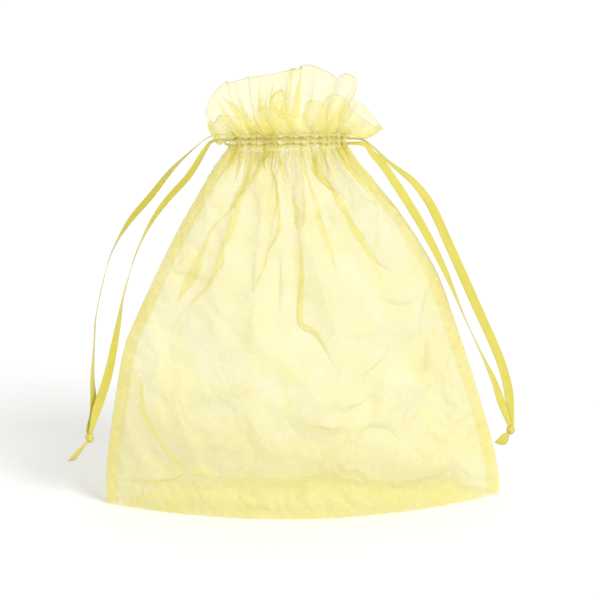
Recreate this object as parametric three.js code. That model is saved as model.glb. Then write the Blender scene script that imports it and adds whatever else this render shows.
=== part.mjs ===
// A drawstring gift pouch of sheer organza, standing up and drawn shut by two satin ribbons.
// Millimetres, +Z up. The origin is the centre of the base, on the surface that the pouch stands on.
// The front faces -Y. The left drawstring leaves the neck on the -X side, the right one on the +X side.
import * as THREE from "three";

// Cloth and clearances
const CLOTH = 0.8; // wall of the body cloth
const HEADER_CLOTH = 1.2; // wall of the frill, which is two plies folded over at the rim
const GAP = 0.3; // clearance between pieces that touch
const SEAM_THICKNESS = 1.2; // both plies of the side seam, sewn flat together
const SEAM_ALLOWANCE = 7; // how far the side seam reaches inwards
const THREAD_RADIUS = 0.3; // sewing thread rows
const OVERLOCK_RADIUS = 0.6; // thread that wraps the raw edge of the allowance

// Body
const BASE_HALF_WIDTH = 118;
const BASE_HALF_DEPTH = 40;
const BELLY_SWELL = 18; // extra half depth that the belly gains over a straight taper
const NECK_HEIGHT = 218; // lower stitch row of the casing
const NECK_SHIFT = -9.5; // the drawn neck leans to -X
const NECK_HALF_WIDTH = 35;
const NECK_HALF_DEPTH = 6.5; // from the middle of the neck to the middle of each casing
const WIDTH_POWER = 1.9; // how late the sides curve in to the neck
const NECK_FLATNESS = 8; // section power at the neck, where front and back run parallel
const BASE_ROUNDNESS = 2; // section power at the base, where they bow apart

// Casing tunnels and frill
const CASING_HEIGHT = 9;
const CASING_CLEAR = 1.6; // clear depth inside a tunnel
const RIM_SHIFT = -5;
const RIM_HALF_WIDTH = 52;
const RIM_SIDE_RISE = 6; // from the frill's foot to its rim at the side seams
const FRONT_RIM = { depth: 28, rise: 25 };
const BACK_RIM = { depth: 25, rise: 35 };
const RUFFLE_DEPTH = 3.2;
const RUFFLES = 7; // waves across each leaf of the frill
const FRILL_SEAM_ALLOWANCE = 5;

// Ribbon
const RIBBON_WIDTH = 6;
const RIBBON_THICKNESS = 0.9;
const BUNCHED_WIDTH = 3; // height that a ribbon is crushed to inside its casing
const TURN_REACH = 4; // how far a ribbon's turn stands out past the neck
const TURN_RADIUS = 3;
const STUB = 9.5; // straight stretch from the neck to the place where the ribbon bends and swings
const TACK_RADIUS = 0.6;
const KNOT_RADII = [4.2, 3.2, 4.6];
const TAIL_LENGTH = { left: 13, right: 6 };
const TAIL_LEAN = { // angle of each tail from straight down, towards -X
  left: { front: 0.5, back: 0.2 },
  right: { front: 0.95, back: 0.7 },
};
const TAIL_SPACING = 2; // between the middles of the two tails and of the two strands at the knot

const COLOURS = {
  organza: { color: 0xf6f0b0, roughness: 0.6, metalness: 0 },
  gathered: { color: 0xe8e090, roughness: 0.6, metalness: 0 },
  ribbon: { color: 0xdcd26a, roughness: 0.35, metalness: 0 },
  thread: { color: 0xe2d884, roughness: 0.7, metalness: 0 },
};

// Sizes that follow from the ones above
const SEAM_HALF = SEAM_THICKNESS / 2;
const PANEL_EDGE = SEAM_HALF + GAP + CLOTH / 2; // middle of a panel's wall where it meets the seam
const PANEL_TOP = NECK_HEIGHT - GAP;
const CASING_TOP = NECK_HEIGHT + CASING_HEIGHT;
const CASING_HALF = CASING_CLEAR / 2 + CLOTH;
const FRILL_FOOT = CASING_TOP + GAP;
const RIBBON_FOOT = NECK_HEIGHT + CLOTH + GAP; // lowest level that a ribbon may take in its casing
const RIBBON_HEAD = CASING_TOP - CLOTH - GAP;
const LEVEL = { left: RIBBON_HEAD - BUNCHED_WIDTH / 2, right: RIBBON_FOOT + BUNCHED_WIDTH / 2 };

// The four hanging strands, from the swing hinge to the knot, as points chosen one by one.
const STRANDS = {
  left_front_strand: [
    [-54.6, -6.5, 223.0], [-59.0, -6.6, 217.5], [-68.0, -6.8, 203.0], [-80.6, -6.8, 189.0],
    [-89.6, -6.6, 176.5], [-96.1, -6.2, 164.0], [-100.9, -5.6, 151.5], [-105.0, -5.0, 139.0],
    [-108.0, -4.4, 126.5], [-110.2, -3.8, 114.0], [-112.6, -3.2, 101.5], [-115.0, -2.6, 89.0],
    [-118.0, -2.0, 77.0], [-121.4, -1.5, 66.5], [-124.6, -1.2, 57.0], [-127.4, -1.0, 46.5],
  ],
  left_back_strand: [
    [-54.6, 6.5, 223.0], [-62.0, 6.6, 218.0], [-71.0, 6.8, 210.0], [-79.6, 6.8, 201.0],
    [-90.2, 6.6, 187.5], [-101.5, 6.2, 174.5], [-109.3, 5.6, 162.5], [-114.8, 5.0, 150.5],
    [-118.6, 4.4, 138.5], [-121.6, 3.8, 126.0], [-123.6, 3.2, 113.5], [-124.6, 2.7, 101.5],
    [-125.6, 2.2, 89.0], [-126.2, 1.7, 76.5], [-125.8, 1.4, 65.0], [-126.0, 1.2, 56.0], [-129.0, 1.0, 46.5],
  ],
  right_front_strand: [
    [35.6, -6.5, 219.4], [40.0, -6.7, 214.0], [45.6, -6.8, 208.0], [53.0, -6.8, 197.0],
    [60.6, -6.6, 185.0], [68.0, -6.2, 172.5], [74.8, -5.6, 160.0], [81.0, -5.0, 147.5],
    [86.8, -4.4, 134.5], [92.0, -3.8, 122.0], [97.2, -3.2, 109.5], [102.6, -2.6, 97.0],
    [108.8, -2.1, 84.0], [114.4, -1.7, 71.5], [118.4, -1.3, 60.0], [123.6, -1.0, 45.5],
  ],
  right_back_strand: [
    [35.6, 6.5, 219.4], [42.0, 6.6, 214.5], [50.0, 6.8, 206.5], [58.6, 6.8, 199.5],
    [66.4, 6.7, 192.5], [74.4, 6.4, 182.0], [80.6, 6.0, 170.0], [86.0, 5.4, 157.5],
    [91.6, 4.8, 145.0], [97.2, 4.1, 132.5], [102.6, 3.5, 120.0], [108.2, 2.9, 107.5],
    [113.8, 2.3, 95.0], [119.0, 1.8, 82.0], [122.6, 1.4, 69.5], [124.6, 1.2, 57.5], [126.0, 1.0, 45.5],
  ],
};
const KNOTS = {
  left: new THREE.Vector3(-128.4, 0, 41),
  right: new THREE.Vector3(125.2, 0, 40),
};
const STRAND_STEPS = 18;

const lerp = THREE.MathUtils.lerp;
const pouch = new THREE.Group();

function add(name, geometry, finish) {
  const mesh = new THREE.Mesh(geometry, new THREE.MeshStandardMaterial(COLOURS[finish]));
  mesh.name = name;
  pouch.add(mesh);
  return mesh;
}

// A thin closed solid on a surface: pointAt(u, v) gives its middle, and the wall is laid off level,
// square to the surface's run, so that its foot and its head stay flat.
function sheetSolid(pointAt, thickness, across, up) {
  const geometry = new THREE.BoxGeometry(1, 1, 1, across, up, 1);
  const position = geometry.attributes.position;
  const nudge = 1e-3;
  for (let i = 0; i < position.count; i++) {
    const u = position.getX(i) + 0.5;
    const v = position.getY(i) + 0.5;
    const here = pointAt(u, v);
    const run = pointAt(u + nudge, v).sub(pointAt(u - nudge, v));
    const square = new THREE.Vector3(run.y, -run.x, 0).normalize();
    here.addScaledVector(square, position.getZ(i) * thickness);
    position.setXYZ(i, here.x, here.y, here.z);
  }
  return geometry;
}

// Outline of the body at height fraction t, from the base (0) to the neck (1)
const halfWidthAt = (t) => lerp(NECK_HALF_WIDTH, BASE_HALF_WIDTH, 1 - t ** WIDTH_POWER);
const middleAt = (t) => NECK_SHIFT * t;
const halfDepthAt = (t) =>
  lerp(NECK_HALF_DEPTH, BASE_HALF_DEPTH, 1 - t * t) + BELLY_SWELL * Math.sin(Math.PI * t);

// Half depth at s, which runs from -1 at the left seam to 1 at the right seam
function bowAt(s, depth, power) {
  return PANEL_EDGE + (depth - PANEL_EDGE) * (1 - Math.abs(s) ** power);
}

function panelPoint(facing) {
  return (u, t) => {
    const s = 2 * u - 1;
    const power = lerp(BASE_ROUNDNESS, NECK_FLATNESS, t ** 3);
    const depth = bowAt(s, halfDepthAt(t), power);
    return new THREE.Vector3(middleAt(t) + s * halfWidthAt(t), facing * depth, t * PANEL_TOP);
  };
}

// The leaf of the frill flares from the straight neck to a ruffled rim that droops at the sides.
function frillPoint(facing, rim) {
  return (u, v) => {
    const s = 2 * u - 1;
    const foot = bowAt(s, NECK_HALF_DEPTH, NECK_FLATNESS);
    const crown = 1 - s * s;
    const ruffle = RUFFLE_DEPTH * v * crown * Math.cos(RUFFLES * Math.PI * s);
    const depth = lerp(foot, bowAt(s, rim.depth, BASE_ROUNDNESS), v) + ruffle;
    const rise = v * lerp(RIM_SIDE_RISE, rim.rise, crown);
    return new THREE.Vector3(frillEdge(s, v), facing * depth, FRILL_FOOT + rise);
  };
}

function frillEdge(s, v) {
  return lerp(NECK_SHIFT + s * NECK_HALF_WIDTH, RIM_SHIFT + s * RIM_HALF_WIDTH, v);
}

function addBody() {
  add("front_panel", sheetSolid(panelPoint(-1), CLOTH, 18, 12), "organza");
  add("back_panel", sheetSolid(panelPoint(1), CLOTH, 18, 12), "organza");

  // The base lies between the panels and the side seams, and follows the bow of the panels' feet.
  const end = BASE_HALF_WIDTH - SEAM_ALLOWANCE - GAP;
  const inset = CLOTH + GAP;
  const endDepth = bowAt(end / BASE_HALF_WIDTH, BASE_HALF_DEPTH, BASE_ROUNDNESS) - inset;
  const controlDepth = 2 * (BASE_HALF_DEPTH - inset) - endDepth;
  const outline = new THREE.Shape();
  outline.moveTo(-end, -endDepth);
  outline.quadraticCurveTo(0, -controlDepth, end, -endDepth);
  outline.lineTo(end, endDepth);
  outline.quadraticCurveTo(0, controlDepth, -end, endDepth);
  add("base", new THREE.ExtrudeGeometry(outline, {
    depth: CLOTH,
    bevelEnabled: false,
    curveSegments: 18,
  }), "organza");
}

// A side seam is a strip from the outer edge inwards, and its raw inner edge is wrapped in thread.
function addSideSeam(side, name) {
  const edgeAt = (t) => middleAt(t) + side * halfWidthAt(t);
  const strip = (u, t) => {
    const inward = SEAM_ALLOWANCE * (side < 0 ? u : 1 - u);
    return new THREE.Vector3(edgeAt(t) - side * inward, 0, t * PANEL_TOP);
  };
  add(name + "_side_seam", sheetSolid(strip, SEAM_THICKNESS, 1, 12), "gathered");

  const offset = SEAM_ALLOWANCE + GAP + OVERLOCK_RADIUS;
  const wrap = (u, t) => {
    const across = (u - 0.5) * 2 * OVERLOCK_RADIUS;
    const height = lerp(CLOTH + GAP, PANEL_TOP, t);
    return new THREE.Vector3(edgeAt(height / PANEL_TOP) - side * offset + across, 0, height);
  };
  add(name + "_seam_overlock", sheetSolid(wrap, 2 * OVERLOCK_RADIUS, 1, 12), "thread");
}

// A casing is a flat tunnel across the neck: the outer ply is body cloth, the inner ply is the
// hem turned down inside it, and a row of thread above and below holds the two together.
function addCasing(facing, name) {
  const length = 2 * NECK_HALF_WIDTH;
  const middle = NECK_HEIGHT + CASING_HEIGHT / 2;
  const plyOffset = (CASING_CLEAR + CLOTH) / 2;
  for (const [ply, away] of [["outer", 1], ["inner", -1]]) {
    add(name + "_casing_" + ply, new THREE.BoxGeometry(length, CLOTH, CASING_HEIGHT), "gathered")
      .position.set(NECK_SHIFT, facing * (NECK_HALF_DEPTH + away * plyOffset), middle);
  }

  const rows = { lower: NECK_HEIGHT + CLOTH / 2, upper: CASING_TOP - CLOTH / 2 };
  const stand = CASING_HALF + GAP + THREAD_RADIUS;
  for (const [level, height] of Object.entries(rows)) {
    const row = new THREE.CylinderGeometry(THREAD_RADIUS, THREAD_RADIUS, length, 8);
    row.rotateZ(Math.PI / 2);
    add(name + "_" + level + "_stitch_row", row, "thread")
      .position.set(NECK_SHIFT, facing * (NECK_HALF_DEPTH + stand), height);
  }
}

function addFrill(facing, name, rim) {
  add(name + "_frill", sheetSolid(frillPoint(facing, rim), HEADER_CLOTH, 42, 5), "gathered");
}

// Each end of the neck: the seam that joins the leaves of the frill, and the two bar tacks
// that close the side seam above and below the gap where the ribbons come out.
function addNeckEnd(side, name) {
  const strip = (u, v) => {
    const inward = FRILL_SEAM_ALLOWANCE * (side < 0 ? u : 1 - u);
    return new THREE.Vector3(frillEdge(side, v) - side * inward, 0, FRILL_FOOT + v * RIM_SIDE_RISE);
  };
  // The leaves stand off the seam by half their own wall, so the seam is a little thinner here.
  const thickness = 2 * (PANEL_EDGE - HEADER_CLOTH / 2 - GAP);
  add(name + "_frill_seam", sheetSolid(strip, thickness, 1, 4), "gathered");

  const reach = NECK_HALF_DEPTH - CASING_HALF - GAP;
  const tacks = {
    lower: NECK_HEIGHT + TACK_RADIUS,
    upper: CASING_TOP - TACK_RADIUS,
  };
  for (const [level, height] of Object.entries(tacks)) {
    const tack = new THREE.CylinderGeometry(TACK_RADIUS, TACK_RADIUS, 2 * reach, 8);
    add(name + "_" + level + "_bar_tack", tack, "thread")
      .position.set(NECK_SHIFT + side * (NECK_HALF_WIDTH - TACK_RADIUS), 0, height);
  }
}

// The held stretch of a drawstring: out of one end of the neck, through both casings, and round
// the far end of the neck. Drawn in plan with +X towards the turn, then stood up as a band.
function addRibbonLoop(side, name) {
  const half = RIBBON_THICKNESS / 2;
  const outer = NECK_HALF_DEPTH + half;
  const inner = NECK_HALF_DEPTH - half;
  const start = -(NECK_HALF_WIDTH + STUB);
  const outerEnd = NECK_HALF_WIDTH + TURN_REACH + half;
  const innerEnd = outerEnd - RIBBON_THICKNESS;
  const outerRound = TURN_RADIUS + half;
  const innerRound = TURN_RADIUS - half;
  const band = new THREE.Shape();
  band.moveTo(start, -outer);
  band.absarc(outerEnd - outerRound, -outer + outerRound, outerRound, -Math.PI / 2, 0);
  band.absarc(outerEnd - outerRound, outer - outerRound, outerRound, 0, Math.PI / 2);
  band.lineTo(start, outer);
  band.lineTo(start, inner);
  band.absarc(innerEnd - innerRound, inner - innerRound, innerRound, Math.PI / 2, 0, true);
  band.absarc(innerEnd - innerRound, -inner + innerRound, innerRound, 0, -Math.PI / 2, true);
  band.lineTo(start, -inner);
  const geometry = new THREE.ExtrudeGeometry(band, {
    depth: BUNCHED_WIDTH,
    bevelEnabled: false,
    curveSegments: 6,
  });
  const mesh = add(name + "_ribbon_loop", geometry, "ribbon");
  mesh.rotation.z = side < 0 ? 0 : Math.PI;
  mesh.position.set(NECK_SHIFT, 0, LEVEL[name] - BUNCHED_WIDTH / 2);
}

// A flat section with rounded edges: thickness along the first axis, width along the second
function ribbonSection() {
  const x = RIBBON_THICKNESS / 2;
  const y = RIBBON_WIDTH / 2;
  const chamfer = RIBBON_THICKNESS / 4;
  const section = new THREE.Shape();
  section.moveTo(x, -y + chamfer);
  section.lineTo(x, y - chamfer);
  section.lineTo(x - chamfer, y);
  section.lineTo(-x + chamfer, y);
  section.lineTo(-x, y - chamfer);
  section.lineTo(-x, -y + chamfer);
  section.lineTo(-x + chamfer, -y);
  section.lineTo(x - chamfer, -y);
  return section;
}

function addStrands() {
  for (const [name, points] of Object.entries(STRANDS)) {
    const path = new THREE.CatmullRomCurve3(points.map((p) => new THREE.Vector3(...p)));
    add(name, new THREE.ExtrudeGeometry(ribbonSection(), {
      steps: STRAND_STEPS,
      extrudePath: path,
      bevelEnabled: false,
    }), "ribbon");
  }
}

// The knot ties both strands of a drawstring, and two cut tails come out below it.
function addKnot(name) {
  const knot = new THREE.SphereGeometry(1, 12, 8);
  knot.rotateX(Math.PI / 2);
  knot.scale(...KNOT_RADII);
  add(name + "_knot", knot, "ribbon").position.copy(KNOTS[name]);

  const half = RIBBON_WIDTH / 2;
  const top = -(KNOT_RADII[2] + GAP);
  const bottom = top - TAIL_LENGTH[name];
  for (const [place, facing] of [["front", -1], ["back", 1]]) {
    const outline = new THREE.Shape();
    outline.moveTo(-half, bottom);
    outline.lineTo(half, bottom + half / 2);
    outline.lineTo(half, top - half);
    outline.lineTo(half / 2, top);
    outline.lineTo(-half / 2, top);
    outline.lineTo(-half, top - half);
    const tail = new THREE.ExtrudeGeometry(outline, { depth: RIBBON_THICKNESS, bevelEnabled: false });
    tail.translate(0, 0, -RIBBON_THICKNESS / 2);
    tail.rotateX(Math.PI / 2);
    const mesh = add(name + "_" + place + "_tail", tail, "ribbon");
    mesh.position.copy(KNOTS[name]);
    mesh.position.y += facing * TAIL_SPACING / 2;
    mesh.rotation.y = TAIL_LEAN[name][place];
  }
}

addBody();
addCasing(-1, "front");
addCasing(1, "back");
addFrill(-1, "front", FRONT_RIM);
addFrill(1, "back", BACK_RIM);
for (const [side, name] of [[-1, "left"], [1, "right"]]) {
  addSideSeam(side, name);
  addNeckEnd(side, name);
  addRibbonLoop(side, name);
  addKnot(name);
}
addStrands();

export default pouch;
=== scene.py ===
import math

import bmesh
import bpy
import numpy as np
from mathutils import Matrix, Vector, noise


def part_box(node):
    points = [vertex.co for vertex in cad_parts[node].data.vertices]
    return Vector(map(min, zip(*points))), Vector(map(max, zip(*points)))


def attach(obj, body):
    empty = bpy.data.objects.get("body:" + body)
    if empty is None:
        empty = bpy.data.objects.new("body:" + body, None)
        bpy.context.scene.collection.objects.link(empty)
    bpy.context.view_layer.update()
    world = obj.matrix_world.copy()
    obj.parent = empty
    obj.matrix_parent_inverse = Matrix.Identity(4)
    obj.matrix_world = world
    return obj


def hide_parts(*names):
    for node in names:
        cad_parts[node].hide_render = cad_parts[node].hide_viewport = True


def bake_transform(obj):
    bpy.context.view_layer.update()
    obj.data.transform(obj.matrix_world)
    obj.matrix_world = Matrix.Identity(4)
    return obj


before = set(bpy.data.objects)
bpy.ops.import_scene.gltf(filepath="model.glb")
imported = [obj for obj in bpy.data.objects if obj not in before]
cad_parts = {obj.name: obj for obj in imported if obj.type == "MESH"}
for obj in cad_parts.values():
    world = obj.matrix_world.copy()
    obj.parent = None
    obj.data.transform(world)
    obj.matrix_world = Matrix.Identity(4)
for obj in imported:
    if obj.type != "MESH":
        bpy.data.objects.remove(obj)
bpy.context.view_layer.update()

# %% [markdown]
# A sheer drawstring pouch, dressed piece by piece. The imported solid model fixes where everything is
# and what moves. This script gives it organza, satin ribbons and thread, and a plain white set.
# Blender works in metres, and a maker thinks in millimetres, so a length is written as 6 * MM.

MM = 0.001

# %% [markdown]
# The camera stands low in front of the pouch, a little to its left. It is far away with a long lens,
# which flattens the picture and keeps upright sides parallel, as small goods are usually shown.

# %% Camera
CAMERA_AZIMUTH = math.radians(-4.4)
CAMERA_ELEVATION = math.radians(15.5)
CAMERA_DISTANCE = 2.2
CAMERA_TARGET = Vector((-0.00225, 0, 0.124))



def add_object(name, data):
    """An object that shows that data, linked into the scene."""
    obj = bpy.data.objects.new(name, data)
    bpy.context.collection.objects.link(obj)
    return obj


def face_from(obj, away):
    """Turns a camera or a light that stands out along away, so that it faces back."""
    obj.rotation_mode = "QUATERNION"
    obj.rotation_quaternion = (-away).to_track_quat("-Z", "Y")


camera_data = bpy.data.cameras.new("camera")
camera_data.lens = 222  # millimetres, for the usual 36 mm sensor
camera_data.clip_start = 0.05
camera_data.clip_end = 50
camera = add_object("camera", camera_data)
away = Vector((
    math.sin(CAMERA_AZIMUTH) * math.cos(CAMERA_ELEVATION),
    -math.cos(CAMERA_AZIMUTH) * math.cos(CAMERA_ELEVATION),
    math.sin(CAMERA_ELEVATION),
))
camera.location = CAMERA_TARGET + CAMERA_DISTANCE * away
face_from(camera, away)
bpy.context.scene.camera = camera

# %% [markdown]
# Colours are picked on a screen, so they are sRGB hex values, and a shader wants linear light. One
# function turns one into the other. A second small helper adds a shader node, sets it and links it.

# %% Colour and node helpers
def linear(hex_colour):
    channels = [int(hex_colour[i:i + 2], 16) / 255 for i in (1, 3, 5)]
    return [c / 12.92 if c <= 0.04045 else ((c + 0.055) / 1.055) ** 2.4 for c in channels] + [1]


def add_node(tree, kind, sockets=None, **settings):
    """A node of that kind with its settings. Each socket is set to a value, or linked to an output
    or to the first output of a node."""
    node = tree.nodes.new(kind)
    for name, value in settings.items():
        setattr(node, name, value)
    for socket, source in (sockets or {}).items():
        if isinstance(source, bpy.types.Node):
            source = source.outputs[0]
        if isinstance(source, bpy.types.NodeSocket):
            tree.links.new(source, node.inputs[socket])
        else:
            node.inputs[socket].default_value = source
    return node


def new_material(name):
    material = bpy.data.materials.new(name)
    material.use_nodes = True
    material.node_tree.nodes.clear()
    return material, material.node_tree


# A colour Mix node keeps a socket for each kind of value. These are the ones for colours.
FACTOR, COLOUR_A, COLOUR_B, MIXED = 0, 6, 7, 2


def wave_scale(pitch):
    """The Wave texture's scale for bands that repeat every pitch: it draws one every 2 pi / 20."""
    return 2 * math.pi / 20 / pitch


# %% [markdown]
# Organza is a plain weave of very fine, stiff polyester thread, with gaps as wide as the thread. So
# it is a screen: a share of the light goes straight through, and the threads scatter the rest to
# both sides. The finish mixes a clear share with a scattering share, and no glass is needed.
# The real cloth has about 4 threads a millimetre, far too fine to show, so its weave is drawn with
# one every 1.8 mm, and faint. Slubs, the thicker spots in a thread, make short streaks both ways.
# Where a fold stands steep, its threads line up behind each other and stop more light. The mesh
# carries that as an attribute, crowding, which is worked out when the folds are made. Crowding also
# darkens the dye towards its shade colour there, which is painted shade in the folds.

# %% Threads of the organza
WEAVE_PITCH = 1.8 * MM
SLUB_WIDTH = 1.4 * MM
SLUB_DRAW = 0.05  # a slub's width over its length
CLOUD_SIZE = 26 * MM  # size of the slow drifts in how open the cloth is
CROWDED_COVER = 0.14  # what the steepest fold adds to a ply's cover


def added(tree, first, second, **settings):
    return add_node(tree, "ShaderNodeMath", {0: first, 1: second}, operation="ADD", **settings)


def ranged(tree, value, given, wanted):
    """The value, carried over from the given range to the wanted one."""
    return add_node(tree, "ShaderNodeMapRange", {
        "Value": value, "From Min": given[0], "From Max": given[1],
        "To Min": wanted[0], "To Max": wanted[1],
    })


def thread_pattern(tree, cut):
    """Three values across the cloth: its weave, its slubs, and how it drifts from place to place."""
    threads = [
        add_node(tree, "ShaderNodeTexWave", {
            "Vector": cut, "Scale": wave_scale(WEAVE_PITCH), "Distortion": 1.2, "Detail": 1.0,
            "Detail Scale": 0.4,
        }, bands_direction=way).outputs["Fac"]
        for way in ("X", "Y")
    ]
    slubs = []
    for drawn in ((1.0, SLUB_DRAW, 1.0), (SLUB_DRAW, 1.0, 1.0)):
        along_thread = add_node(tree, "ShaderNodeMapping", {"Vector": cut, "Scale": drawn})
        slubs.append(add_node(tree, "ShaderNodeTexNoise", {
            "Vector": along_thread, "Scale": 1 / SLUB_WIDTH, "Detail": 2.0,
        }))
    cloud = add_node(tree, "ShaderNodeTexNoise", {
        "Vector": cut, "Scale": 1 / CLOUD_SIZE, "Detail": 3.0, "Distortion": 0.6,
    })
    return added(tree, *threads), added(tree, *slubs), cloud


# %% Organza
SCREEN_SHARE = 0.44  # of the scattered light, the share that goes on through


def organza(name, colour, shade, cover, streak, cloudy):
    """Sheer cloth. cover is the share of the light that one ply stops. It varies by streak from
    thread to thread, and by cloudy from place to place."""
    material, tree = new_material(name)
    cut = add_node(tree, "ShaderNodeUVMap", uv_map="flat_cut")
    weave, slub, cloud = thread_pattern(tree, cut)
    crowding = add_node(tree, "ShaderNodeAttribute", attribute_name="crowding").outputs["Fac"]
    stopped = ranged(tree, weave, (0, 2), (cover - streak / 2, cover + streak / 2))
    for part in (
        ranged(tree, slub, (0.7, 1.3), (-streak, streak)),
        ranged(tree, cloud, (0.3, 0.7), (-cloudy, cloudy)),
        ranged(tree, crowding, (0, 1), (0, CROWDED_COVER)),
    ):
        stopped = added(tree, stopped, part, use_clamp=True)

    # The dye drifts at random towards the shade colour with the cloud, and darkens towards it where a
    # fold stands steep: that second part is painted shade.
    drift_and_fold_shade = added(tree, cloud, crowding, use_clamp=True)
    dye = add_node(tree, "ShaderNodeMix", {
        FACTOR: drift_and_fold_shade, COLOUR_A: linear(colour), COLOUR_B: linear(shade),
    }, data_type="RGBA").outputs[MIXED]
    relief = add_node(tree, "ShaderNodeBump", {
        "Height": weave, "Strength": 0.06, "Distance": 0.05 * MM,
    })
    # The near side of the threads: filament polyester, soft gloss and a little sheen
    near_side = add_node(tree, "ShaderNodeBsdfPrincipled", {
        "Base Color": dye, "Roughness": 0.5, "IOR": 1.5, "Specular IOR Level": 0.4,
        "Sheen Weight": 0.3, "Sheen Roughness": 0.4, "Normal": relief,
    })
    far_side = add_node(tree, "ShaderNodeBsdfTranslucent", {"Color": dye})
    lit = add_node(tree, "ShaderNodeMixShader", {
        0: SCREEN_SHARE, 1: near_side, 2: far_side,
    })
    gaps = add_node(tree, "ShaderNodeBsdfTransparent")
    ply = add_node(tree, "ShaderNodeMixShader", {
        0: stopped, 1: gaps, 2: lit,
    })
    add_node(tree, "ShaderNodeOutputMaterial", {"Surface": ply})
    return material


# %% [markdown]
# All of the pouch is one cloth, but it is seen in three states. On the body it hangs open. In the
# gathers many plies stand behind each other and shade each other, so each is painted lighter and
# more open than it is: painted light that keeps the neck from coming out too dark. The seam
# allowances are pressed and sewn flat, ply on ply.

# %% Three states of the cloth
# The second colour of each cloth is its random drift and also the painted shade of its steep folds.
ORGANZA = organza("organza_polyester_plain_woven", "#FCF5B4", "#F1EA8E", 0.41, 0.01, 0.09)
GATHERED_PAINTED_LIGHTER = organza("organza_polyester_gathered", "#FFFBC6", "#FAF4AC", 0.295, 0.01, 0.03)
ALLOWANCE = organza("organza_polyester_seam_allowance", "#FBF4AE", "#F1E992", 0.38, 0.01, 0.05)

# %% [markdown]
# The ribbon is satin, woven with long threads that float along its face. That makes it smoother
# than the cloth, with a gloss drawn out along its length, and dense enough to hide what is behind.
# Sewing thread is spun and matt. Both have fine ribs, drawn every 0.5 mm instead of every 0.1 mm.

# %% Satin ribbon and sewing thread
def spun(name, colour, shade, rib_pitch, roughness, drawn_gloss):
    material, tree = new_material(name)
    cut = add_node(tree, "ShaderNodeUVMap", uv_map="flat_cut")
    ribs = add_node(tree, "ShaderNodeTexWave", {
        "Vector": cut, "Scale": wave_scale(rib_pitch), "Distortion": 2.0, "Detail": 2.0,
    }, bands_direction="Y")
    drift = add_node(tree, "ShaderNodeTexNoise", {"Vector": cut, "Scale": 120.0, "Detail": 3.0})
    dye = add_node(tree, "ShaderNodeMix", {
        FACTOR: drift, COLOUR_A: linear(colour), COLOUR_B: linear(shade),
    }, data_type="RGBA").outputs[MIXED]
    relief = add_node(tree, "ShaderNodeBump", {
        "Height": ribs.outputs["Fac"], "Strength": 0.3, "Distance": 0.06 * MM,
    })
    face = add_node(tree, "ShaderNodeBsdfPrincipled", {
        "Base Color": dye, "Roughness": roughness, "IOR": 1.5, "Anisotropic": drawn_gloss,
        "Sheen Weight": 0.25, "Sheen Roughness": 0.35, "Normal": relief,
    })
    add_node(tree, "ShaderNodeOutputMaterial", {"Surface": face})
    return material


SATIN = spun("satin_ribbon_polyester_woven", "#D3C95C", "#C7BD4C", 0.5 * MM, 0.38, 0.5)
THREAD = spun("sewing_thread_polyester_spun", "#F6EEB0", "#ECE298", 0.5 * MM, 0.6, 0.0)

# %% [markdown]
# A length of cloth or ribbon is a grid of points in rows and columns. Its UV map holds the flat cut
# in metres, so that weave and ribs follow the cloth through every fold. A smooth line through
# chosen points is the same Catmull-Rom curve that the solid model uses.

# %% Surface helpers
def smooth_step(low, high, value):
    """0 below low, 1 above high, and a smooth step between them."""
    t = np.clip((np.asarray(value, float) - low) / (high - low), 0, 1)
    return t * t * (3 - 2 * t)


def grid_object(name, points, flat, material, closed=False):
    """A mesh from points[row, column], with flat[row, column] as its UV map. A closed grid is a
    tube: its last column is joined to its first."""
    rows, columns = points.shape[:2]
    strips = columns if closed else columns - 1
    faces = [
        (r * columns + c, r * columns + (c + 1) % columns,
         (r + 1) * columns + (c + 1) % columns, (r + 1) * columns + c)
        for r in range(rows - 1) for c in range(strips)
    ]
    mesh = bpy.data.meshes.new(name)
    mesh.from_pydata(points.reshape(-1, 3).tolist(), [], faces)
    corners = np.array(faces).ravel()
    layer = mesh.uv_layers.new(name="flat_cut")
    layer.data.foreach_set("uv", flat.reshape(-1, 2)[corners].ravel())
    mesh.shade_smooth()
    mesh.materials.append(material)
    return add_object(name, mesh)


def close_ends(obj, ring):
    """Caps the first and the last ring of a tube, and turns its faces outwards."""
    edit = bmesh.new()
    edit.from_mesh(obj.data)
    edit.verts.ensure_lookup_table()
    for first in (0, len(edit.verts) - ring):
        for i in range(ring // 2 - 1):
            corners = (first + i, first + i + 1, first + ring - 2 - i, first + ring - 1 - i)
            edit.faces.new([edit.verts[c] for c in corners])
    bmesh.ops.recalc_face_normals(edit, faces=edit.faces)
    edit.to_mesh(obj.data)
    edit.free()
    obj.data.shade_smooth()


# %% Smooth lines
def line_through(points, per_span=8):
    p = np.array(points, float)
    p = np.vstack([2 * p[0] - p[1], p, 2 * p[-1] - p[-2]])
    t = np.linspace(0, 1, per_span, endpoint=False)[:, None]
    spans = [
        0.5 * (2 * b + (c - a) * t + (2 * a - 5 * b + 4 * c - d) * t ** 2
               + (3 * b - a - 3 * c + d) * t ** 3)
        for a, b, c, d in zip(p[:-3], p[1:-2], p[2:-1], p[3:])
    ]
    return np.vstack([*spans, p[-2][None]])


def distances(line):
    steps = np.linalg.norm(np.diff(line, axis=0), axis=1)
    return np.concatenate([[0], np.cumsum(steps)])
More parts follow.
